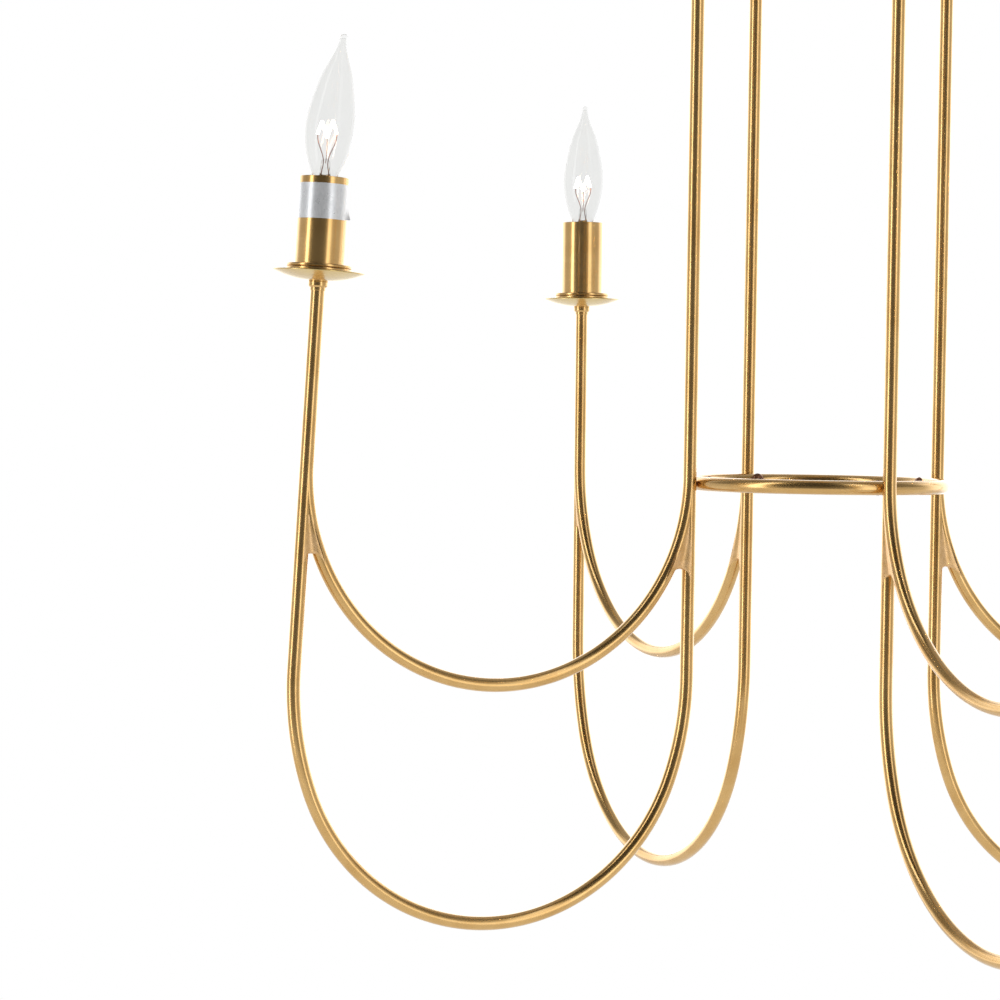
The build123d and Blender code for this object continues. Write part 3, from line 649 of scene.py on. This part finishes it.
ring_outline = []
for i in range(RING_STEPS + 1):
    angle = math.radians(360 * i / RING_STEPS)
    ring_outline.append((RING_R + RING_TUBE_R * math.cos(angle), RING_TUBE_R * math.sin(angle)))
ring = lathe("tie_ring_tube", ring_outline, Matrix.Translation((0, 0, RING_Z)), sides=240)
finish_piece(ring, "fixture", "brushed_brass", BRASS_RING, "tie_ring")


def hexagonal(point):
    """Pulls the points of the screw's round recess into a hexagon, and leaves the points outside it."""
    radius = math.hypot(point.x, point.y)
    if not 0 < radius < (RECESS_R + SHANK_R) / 2:
        return point
    side = math.pi / 3
    angle = (math.atan2(point.y, point.x) + side / 2) % side - side / 2
    share = HEXAGON_SHARE / math.cos(angle)
    return Vector((point.x * share, point.y * share, point.z))


def screw(arm):
    """Button head with a hexagon recess, seated on the ring's inner side, and its shank out into the rod."""
    outline = [
        (SHANK_R, SHANK_LENGTH), (SHANK_R, 0.0), (SCREW_HEAD_R - EDGE_IN, 0.0), (SCREW_HEAD_R, -EDGE_UP),
    ]
    for i in range(DOME_STEPS + 1):
        angle = math.radians(DOME_START + DOME_TURN * i / DOME_STEPS)
        outline.append((SCREW_HEAD_R * math.cos(angle) + DOME_SPREAD, -SCREW_HEAD_H * math.sin(angle)))
    floor = -SCREW_HEAD_H + RECESS_DEPTH
    outline += [(RECESS_R, -SCREW_HEAD_H * RECESS_RIM), (RECESS_R, floor), (0.0, floor)]
    seat = Matrix.Translation((RING_R - RING_TUBE_R - SCREW_SEAT_GAP, 0, 0))
    place = arm_matrix(arm) @ seat @ Matrix.Rotation(math.radians(90), 4, "Y")
    return lathe(f"screw_{arm}", outline, place, sides=36, shape=hexagonal)


screws = join_objects("ring_screw_set", [screw(arm) for arm in ARMS])
finish_piece(screws, "fixture", "dark_screw", DARK_SCREW, "ring_screws")


# ---------------------------------------------------------------- candle hardware
STACK_BORE_R = 0.0035               # hole through the collar, the dish and the discs
SKIRT_R, SKIRT_LENGTH = 0.00495, 0.0020             # collar's skirt over the tube's end
COLLAR_R, COLLAR_CHAMFER = 0.0062, 0.0009
DISH_LOW, DISH_HIGH = 0.0037, 0.0095
DISH_FLAT_R, DISH_R = 0.009, 0.0293
DISH_SAG = 0.0009                   # dip of the dish's slope below a straight line
DISH_STEPS = 20
LIP_OUT, LIP_DIP = 0.0003, 0.000016                 # how far the rim's round lip stands out and sits low
LIP_ANGLES = (0.8, 1.57, 2.3)
DISC_R, DISC_THICKNESS = 0.0207, 0.0021
DISC_LOW = 0.010
EDGE_ROUND = 0.0003
DISC_ROUND = 0.0007
CORNER_STEPS = 5


def rounded(outline, radius, corners):
    """Outline with small curves in place of the corners at these places in the list."""
    result = []
    for i, point in enumerate(outline):
        if i not in corners:
            result.append(point)
            continue
        here = Vector(point)
        before = (Vector(outline[i - 1]) - here).normalized()
        after = (Vector(outline[(i + 1) % len(outline)]) - here).normalized()
        start, end = here + before * radius, here + after * radius
        for k in range(CORNER_STEPS + 1):
            t = k / CORNER_STEPS
            result.append(tuple((1 - t) ** 2 * start + 2 * t * (1 - t) * here + t * t * end))
    return result


def collar_outline():
    """Skirt over the tube's end, and a chamfered ring between it and the dish."""
    points = [
        (TUBE_R, -SKIRT_LENGTH), (SKIRT_R, -SKIRT_LENGTH), (SKIRT_R, 0.0), (COLLAR_R - COLLAR_CHAMFER, 0.0),
        (COLLAR_R, COLLAR_CHAMFER), (COLLAR_R, DISH_LOW), (STACK_BORE_R, DISH_LOW),
    ]
    return rounded(points, EDGE_ROUND, (1, 4, 5))


def dish_outline():
    """Shallow saucer with a thin rounded rim."""
    under, over = [(STACK_BORE_R, DISH_LOW)], []
    rise = DISH_HIGH - SHEET / 2 - DISH_LOW
    for i in range(DISH_STEPS + 1):
        t = i / DISH_STEPS
        radius = DISH_FLAT_R + (DISH_R - DISH_FLAT_R) * t
        height = DISH_LOW + rise * t - 4 * DISH_SAG * t * (1 - t)
        under.append((radius, height))
        over.append((radius, height + SHEET))
    lip = []
    for angle in LIP_ANGLES:
        lip.append((DISH_R + LIP_OUT * math.sin(angle), DISH_HIGH - LIP_DIP - SHEET / 2 * math.cos(angle)))
    return under + lip + over[::-1] + [(STACK_BORE_R, DISH_LOW + SHEET)]


def disc_outline(level):
    low = DISC_LOW + level * DISC_THICKNESS
    high = low + DISC_THICKNESS
    points = [(STACK_BORE_R, low), (DISC_R, low), (DISC_R, high), (STACK_BORE_R, high)]
    return rounded(points, DISC_ROUND, (1, 2))


def sleeve_outline():
    inside = SLEEVE_R - SHEET
    points = [
        (inside, SLEEVE_LOW), (SLEEVE_R, SLEEVE_LOW), (SLEEVE_R, SLEEVE_TOP), (inside, SLEEVE_TOP),
        (inside, SLEEVE_LOW),
    ]
    return rounded(points, EDGE_ROUND, (1, 2, 3))


collars = []
discs = []
for arm in ARMS:
    place = candle_matrix(arm)
    collars.append(lathe(f"collar_{arm}", collar_outline(), place, sides=64))
    for level in (0, 1):
        discs.append(lathe(f"disc_{arm}_{level}", disc_outline(level), place, sides=128))
    dish = lathe(f"candle_{arm}_dish", dish_outline(), place, sides=160, sharp=60)
    finish_piece(dish, "fixture", "turned_brass", BRASS_DISH, f"dish_{arm}")
    sleeve = lathe(f"candle_{arm}_sleeve", sleeve_outline(), place, sides=128)
    finish_piece(sleeve, "fixture", "turned_brass", BRASS_TURNED, f"sleeve_{arm}")
collar_set = join_objects("candle_collar_set", collars)
finish_piece(collar_set, "fixture", "turned_brass", BRASS_TURNED, "candle_collars")
disc_set = join_objects("flange_disc_set", discs)
finish_piece(disc_set, "fixture", "turned_brass", BRASS_TURNED, "flange_discs")


# ---------------------------------------------------------------- foil label
LABEL_ARM = 3
LABEL_START, LABEL_END = -86.0, 144.0       # degrees round the sleeve from the arm's own direction
LABEL_TOP, LABEL_LOW = 0.0641, 0.0421
LABEL_WALL = 0.0002
LABEL_GAP = 0.00005
LABEL_AROUND, LABEL_DOWN = 120, 24
CURL_AROUND, CURL_DOWN = 0.93, 0.45         # the lifted corner starts at these shares of the label
CURL_OUT, CURL_UP = 0.0022, 0.0006


def label_rows(lift):
    """Rows of points down one face of the label.  lift is that face's distance off the inner one."""
    rows = []
    for i in range(LABEL_DOWN + 1):
        down = i / LABEL_DOWN
        row = []
        for j in range(LABEL_AROUND + 1):
            along = j / LABEL_AROUND
            angle = math.radians(LABEL_START + (LABEL_END - LABEL_START) * along)
            corner = max(0.0, along - CURL_AROUND) / (1 - CURL_AROUND)
            corner *= max(0.0, down - CURL_DOWN) / (1 - CURL_DOWN)
            reach = SLEEVE_R + LABEL_GAP + lift + CURL_OUT * corner ** 2
            height = LABEL_TOP + (LABEL_LOW - LABEL_TOP) * down + CURL_UP * corner
            row.append(Vector((reach * math.cos(angle), reach * math.sin(angle), height)))
        rows.append(row)
    return rows


def label():
    """Sticker rolled round the sleeve, its lower corner at one end lifted."""
    outer_rows, inner_rows = label_rows(LABEL_WALL), label_rows(0.0)
    rows = outer_rows + inner_rows[::-1] + [outer_rows[0]]
    row_uvs = [[(GRID_UV * j, GRID_UV * i) for j in range(LABEL_AROUND + 1)] for i in range(len(rows))]
    obj = grid_object("sleeve_label", rows, row_uvs, candle_matrix(LABEL_ARM))
    weld(obj)
    close_ends(obj)
    return obj


finish_piece(label(), "fixture", "foil", FOIL, "foil_label")


# ---------------------------------------------------------------- bulbs
GLASS_WALL = 0.0007
GLASS_LOW = 0.0652
GLASS_PROFILE = [
    (0.0061, 0.0655), (0.0074, 0.0680), (0.0094, 0.0719), (0.0121, 0.0785), (0.0144, 0.0860),
    (0.0157, 0.0945), (0.0160, 0.1030), (0.0152, 0.1110), (0.0137, 0.1190), (0.0118, 0.1270),
    (0.0096, 0.1345), (0.0066, 0.1415), (0.0038, 0.1480), (0.0027, 0.1520), (0.0021, 0.1548),
    (0.0023, 0.1564), (0.0013, 0.1577), (0.0, 0.1579),
]
CAVITY_TOP, CAVITY_CONE = 0.1553, 0.0005    # the cavity closes in a short cone below the solid tip
CAVITY_MIN_R = 1.6 * GLASS_WALL
TIP_BEND_START, TIP_BEND_END = 0.070, 0.158
TIP_BEND_POWER = 1.6
TIP_BENDS = {1: 0.0008, 2: 0.0008, 3: 0.0066, 4: 0.0008}       # how far each drawn-out tip leans
TIP_HEADING = math.radians(-24.27)          # the same way on every bulb
TIP_SIDE = Vector((math.cos(TIP_HEADING), math.sin(TIP_HEADING), 0))

CAP_LOW, CAP_TOP, CAP_R = 0.0500, 0.0655, 0.0059
CAP_FLOOR = 0.0640
THREAD_R, THREAD_DEPTH = 0.00545, 0.00045
THREAD_LOW, THREAD_LENGTH = 0.0530, 0.0105
THREAD_TURNS, THREAD_STEPS = 5, 8

FILAMENT_TURN = -24.0               # degrees; direction of the filament's width, the same in every bulb
FILAMENT_HIGH, FILAMENT_LOW = 0.1042, 0.0932
SPREAD = 0.0062                     # half width of the filament's M
COIL_R = 0.0006
COIL_TURNS, COIL_STEPS = 15, 8      # turns along each leg of the M
WIRE_R, SUPPORT_R = 0.00026, 0.00022
WIRE_STEPS = 5
PINCH_START, PINCH = 0.0745, 0.45   # the glass stem is pressed flat above this, to this share


def glass_outline():
    """Wall of the bulb's glass, from the top of its cavity down, round its neck and up its outside."""
    outer = smooth_curve(GLASS_PROFILE, 5)
    inner = []
    for radius, height in outer:
        if radius > CAVITY_MIN_R and height < CAVITY_TOP:
            inner.append((radius - GLASS_WALL, height))
    inner.append((0.0, inner[-1][1] + CAVITY_CONE))
    neck_radius = GLASS_PROFILE[0][0] - GLASS_WALL
    return inner[:0:-1] + [(neck_radius, GLASS_LOW)] + outer


def bent_tip(amount, direction):
    """Shape for a lathe that leans the tip this far in this direction."""
    def shape(point):
        rise = max(0.0, point.z - TIP_BEND_START) / (TIP_BEND_END - TIP_BEND_START)
        return point + direction * amount * rise ** TIP_BEND_POWER
    return shape


def pinched(point):
    """Shape for a lathe that presses the top of the bulb's glass stem flat."""
    return Vector((point.x, point.y * (PINCH if point.z > PINCH_START else 1.0), point.z))


def cap_outline():
    """Screw cap: solder tip, insulated end, rolled thread and rim."""
    points = [(0.0, CAP_LOW), (0.0022, 0.0502), (0.0026, 0.0512), (0.0045, 0.0518), (0.0056, 0.0528)]
    steps = THREAD_TURNS * THREAD_STEPS
    for i in range(steps + 1):
        wave = 0.5 - 0.5 * math.cos(2 * math.pi * i / THREAD_STEPS)
        points.append((THREAD_R + THREAD_DEPTH * wave, THREAD_LOW + THREAD_LENGTH * i / steps))
    points += [(CAP_R, 0.0641), (CAP_R, CAP_TOP), (0.0055, CAP_TOP), (0.0055, CAP_FLOOR), (0.0, CAP_FLOOR)]
    return points


def mount_outline():
    """Glass foot and stem that carry the lead wires."""
    points = [
        (0.0, 0.0655), (0.0046, 0.0656), (0.0050, 0.0668), (0.0040, 0.0690), (0.0031, 0.0720),
        (0.0029, 0.0760), (0.0027, 0.0785), (0.0014, 0.0797), (0.0, 0.0799),
    ]
    return smooth_curve(points, 3)


def round_wire(name, points, radius, matrix):
    """Wire with round section through points, as a mesh."""
    curve = bpy.data.curves.new(name, "CURVE")
    curve.dimensions = "3D"
    curve.bevel_depth = radius
    curve.bevel_resolution = 2
    curve.use_fill_caps = True
    spline = curve.splines.new("POLY")
    spline.points.add(len(points) - 1)
    for target, point in zip(spline.points, points):
        target.co = (*point, 1.0)
    holder = bpy.data.objects.new(name, curve)
    mesh = bpy.data.meshes.new_from_object(holder)
    bpy.data.objects.remove(holder)
    mesh.transform(matrix)
    mesh.polygons.foreach_set("use_smooth", [True] * len(mesh.polygons))
    return add_object(name, mesh)


def coil_points():
    """Coiled wire along the M that its supports hold."""
    corners = [
        Vector((-SPREAD, 0, FILAMENT_LOW + 0.002)),
        Vector((-SPREAD * 0.62, 0.0006, FILAMENT_HIGH - 0.0008)),
        Vector((0, 0, FILAMENT_LOW)),
        Vector((SPREAD * 0.50, -0.0006, FILAMENT_HIGH)),
        Vector((SPREAD * 0.94, 0, FILAMENT_LOW + 0.003)),
    ]
    points = []
    steps = COIL_TURNS * COIL_STEPS
    for start, end in zip(corners, corners[1:]):
        along = (end - start).normalized()
        side = along.cross(Y_AXIS).normalized()
        for i in range(steps):
            angle = 2 * math.pi * i / COIL_STEPS
            off_leg = COIL_R * (math.cos(angle) * side + math.sin(angle) * Y_AXIS)
            points.append(start + (end - start) * (i / steps) + off_leg)
    points.append(corners[-1])
    return points


def lead_points(side):
    """Lead wire from the foot, up the glass stem and out to one end of the filament."""
    path = [
        (side * 0.0022, 0, 0.0655), (side * 0.0016, 0, 0.0735), (side * 0.0014, 0, 0.0785),
        (side * 0.0024, 0, 0.0830), (side * SPREAD * 0.86, 0, 0.0905),
        (side * SPREAD * 0.97, 0, FILAMENT_LOW + 0.0025),
    ]
    return smooth_curve(path, WIRE_STEPS)


def bulb(arm):
    """Glass, screw cap, glass mount, coil and wires, which lift out together."""
    body = f"bulb_{arm}"
    place = candle_matrix(arm)
    tip_side = (place.to_3x3().inverted() @ TIP_SIDE).normalized()
    bend = bent_tip(TIP_BENDS[arm], tip_side)
    glass = lathe(f"bulb_{arm}_glass", glass_outline(), place, sides=96, sharp=80, shape=bend)
    finish_piece(glass, body, "clear_glass", GLASS, f"bulb_glass_{arm}")
    cap = lathe(f"bulb_{arm}_cap", cap_outline(), place, sides=48, sharp=50)
    finish_piece(cap, body, "nickel", NICKEL, f"bulb_cap_{arm}")

    spin = place @ Matrix.Rotation(math.radians(FILAMENT_TURN) - arm_angle(arm), 4, "Z")
    mount = lathe(f"bulb_{arm}_mount", mount_outline(), spin, sides=40, sharp=60, shape=pinched)
    finish_piece(mount, body, "clear_glass", GLASS, f"bulb_filament_{arm}")
    glow = round_wire(f"bulb_{arm}_filament", coil_points(), WIRE_R, spin)
    finish_piece(glow, body, "filament", FILAMENT)
    wires = [round_wire(f"lead_{side}", lead_points(side), WIRE_R, spin) for side in (-1, 1)]
    support = [(0, 0.0004, 0.0775), (0.0003, 0.0006, 0.0835), (0.0, 0.0004, FILAMENT_LOW - 0.0002)]
    wires.append(round_wire("support", smooth_curve(support, WIRE_STEPS), SUPPORT_R, spin))
    leads = join_objects(f"bulb_{arm}_leads", wires)
    finish_piece(leads, body, "filament", COPPER)


for arm in ARMS:
    bulb(arm)


# ---------------------------------------------------------------- collar ring under the canopy
KNURL_RIDGES, KNURL_DEPTH = 96, 0.0005


def knurled_ring():
    """Ring with a knurled rim between two chamfers and two plain bands."""
    low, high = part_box("collar_ring")
    outer, height = (high.x - low.x) / 2, high.z - low.z
    bore, chamfer, knurl_start, waist = 0.01535, 0.0008, 0.0012, 0.00001
    outline = [
        (bore, 0.0), (outer - chamfer, 0.0), (outer, chamfer), (outer, knurl_start),
        (outer - waist, height / 2), (outer, height - knurl_start), (outer, height - chamfer),
        (outer - chamfer, height), (bore, height), (bore, 0.0),
    ]
    band = (chamfer + knurl_start) / 2

    def knurl(point):
        if not band < point.z < height - band:
            return point
        radius = math.hypot(point.x, point.y)
        ridge = 0.5 + 0.5 * math.cos(KNURL_RIDGES * math.atan2(point.y, point.x))
        scale = (radius - KNURL_DEPTH * ridge) / radius
        return Vector((point.x * scale, point.y * scale, point.z))

    place = Matrix.Translation((0, 0, low.z))
    return lathe("canopy_collar", outline, place, sides=6 * KNURL_RIDGES, sharp=32, shape=knurl)


finish_piece(knurled_ring(), "collar", "turned_brass", BRASS_TURNED, "collar_ring")


# ---------------------------------------------------------------- studio
CAMERA_PLACE = Vector((-1.0856, -1.8943, 0.0550))      # from the middle of the ring
CAMERA_YAW, CAMERA_PITCH, CAMERA_ROLL = map(math.radians, (24.269, -1.814, 0.871))
LENS = 116.96
SENSOR = 36
FLOOR_DROP, FLOOR_R = 0.6, 2.5

# What the brass mirrors.  LEVELS hold (degrees round from the studio's front, brightness), and HEIGHTS hold
# (degrees up from the horizon, share of that brightness).  The floor's levels are by height alone.
BRIGHTEST = 5.0
KEY_DIRECTION = math.radians(119.81)     # turns the studio's front, on the camera's side, to +X
SIDE_LEVELS = [
    (-180, 0.0), (-120, 0.25), (-104, 0.62), (-64, 0.60), (-42, 0.34), (-27, 0.15), (0, 0.12), (24, 0.15),
    (38, 0.34), (60, 0.60), (104, 0.64), (122, 0.25), (180, 0.0),
]
SIDE_HEIGHTS = [(-30, 0.0), (-6, 1.0), (9, 1.0), (18, 0.36), (90, 0.30)]
BACK_LEVELS = [(-180, 1.8), (-122, 1.6), (-104, 0.0), (104, 0.0), (122, 1.6), (180, 1.8)]
BACK_HEIGHTS = [(-30, 0.0), (-6, 1.0), (30, 1.0), (42, 0.25), (90, 0.20)]
BOX_LEVELS = [
    (-60, 0.0), (-57, 3.1), (-47, 3.1), (-44, 0.0), (37, 0.0), (40, 1.6), (49, 1.6), (56, 0.6), (61, 0.0),
]
BOX_HEIGHTS = [(-48, 0.0), (-40, 1.0), (60, 1.0), (72, 0.0)]
FLOOR_LEVELS = [(-90, 0.80), (-28, 0.78), (-6, 0.0)]


def studio_camera():
    forward = Vector((
        math.sin(CAMERA_YAW) * math.cos(CAMERA_PITCH),
        math.cos(CAMERA_YAW) * math.cos(CAMERA_PITCH),
        math.sin(CAMERA_PITCH),
    ))
    level = Vector((math.cos(CAMERA_YAW), -math.sin(CAMERA_YAW), 0))
    upright = level.cross(forward)
    right = math.cos(CAMERA_ROLL) * level + math.sin(CAMERA_ROLL) * upright
    up = -math.sin(CAMERA_ROLL) * level + math.cos(CAMERA_ROLL) * upright
    data = bpy.data.cameras.new("camera")
    data.lens = LENS
    data.sensor_width = SENSOR
    camera = add_object("camera", data)
    place = Vector((0, 0, RING_Z)) + CAMERA_PLACE
    axes = Matrix((right, up, -forward)).transposed()
    camera.matrix_world = Matrix.Translation(place) @ axes.to_4x4()
    bpy.context.scene.camera = camera


def studio_floor():
    low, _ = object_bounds()
    place = Matrix.Translation((0, 0, low.z - FLOOR_DROP))
    floor = lathe("floor", [(0.0, 0.0), (FLOOR_R, 0.0)], place, sides=96)
    shader = Shader("pale_floor")
    grain = shader.noise("Object", 6, detail=4.0)
    tone = shader.ramp(grain, (0.3, rgb(236, 236, 234)), (0.7, rgb(241, 241, 239)))
    shader.set(Base_Color=tone, Roughness=0.7)
    floor.data.materials.append(shader.material)


def studio_world():
    """Soft studio: white to look at and to light by.  The brass mirrors two tall soft boxes beside a dark
    front, pale sides, a bright back and a pale floor."""
    world = bpy.data.worlds.new("studio")
    bpy.context.scene.world = world
    world.use_nodes = True
    studio = Nodes(world.node_tree)

    turn = studio.add("ShaderNodeVectorRotate", rotation_type="Z_AXIS")
    studio.feed(turn.inputs["Vector"], studio.add("ShaderNodeTexCoord").outputs["Generated"])
    studio.feed(turn.inputs["Angle"], KEY_DIRECTION)
    parts = studio.add("ShaderNodeSeparateXYZ")
    studio.feed(parts.inputs["Vector"], turn.outputs["Vector"])
    around = studio.math("ARCTAN2", parts.outputs["Y"], parts.outputs["X"])
    around = studio.math("MULTIPLY_ADD", around, 0.5 / math.pi, 0.5)
    upward = studio.math("MULTIPLY_ADD", studio.math("ARCSINE", parts.outputs["Z"]), 1 / math.pi, 0.5)

    def level_at(place, whole, levels):
        """Share of BRIGHTEST at a place in a range of this many whole degrees, from its middle."""
        return studio.ramp(place, *[(0.5 + angle / whole, level / BRIGHTEST) for angle, level in levels])

    def lit_part(levels, heights):
        return studio.math("MULTIPLY", level_at(around, 360, levels), level_at(upward, 180, heights))

    walls = studio.math("ADD", lit_part(BACK_LEVELS, BACK_HEIGHTS), lit_part(BOX_LEVELS, BOX_HEIGHTS))
    walls = studio.math("ADD", lit_part(SIDE_LEVELS, SIDE_HEIGHTS), walls)
    ground = level_at(upward, 180, FLOOR_LEVELS)
    mirrored = studio.math("ADD", studio.math("MULTIPLY", walls, BRIGHTEST ** 2),
                           studio.math("MULTIPLY", ground, BRIGHTEST))

    # A ray that the bulbs' glass has bent counts as glossy too, and it has to see white.
    rays = studio.add("ShaderNodeLightPath").outputs
    straight = studio.math("SUBTRACT", 1.0, rays["Is Transmission Ray"])
    glossy = studio.math("MULTIPLY", rays["Is Glossy Ray"], straight)
    white = studio.math("SUBTRACT", 1.0, glossy)
    seen = studio.math("ADD", studio.math("MULTIPLY", mirrored, glossy), white)
    background = studio.tree.nodes["Background"]
    studio.feed(background.inputs["Color"], (1, 1, 1, 1))
    studio.feed(background.inputs["Strength"], seen)


bpy.context.scene.view_settings.view_transform = "Standard"
studio_camera()
studio_floor()
studio_world()
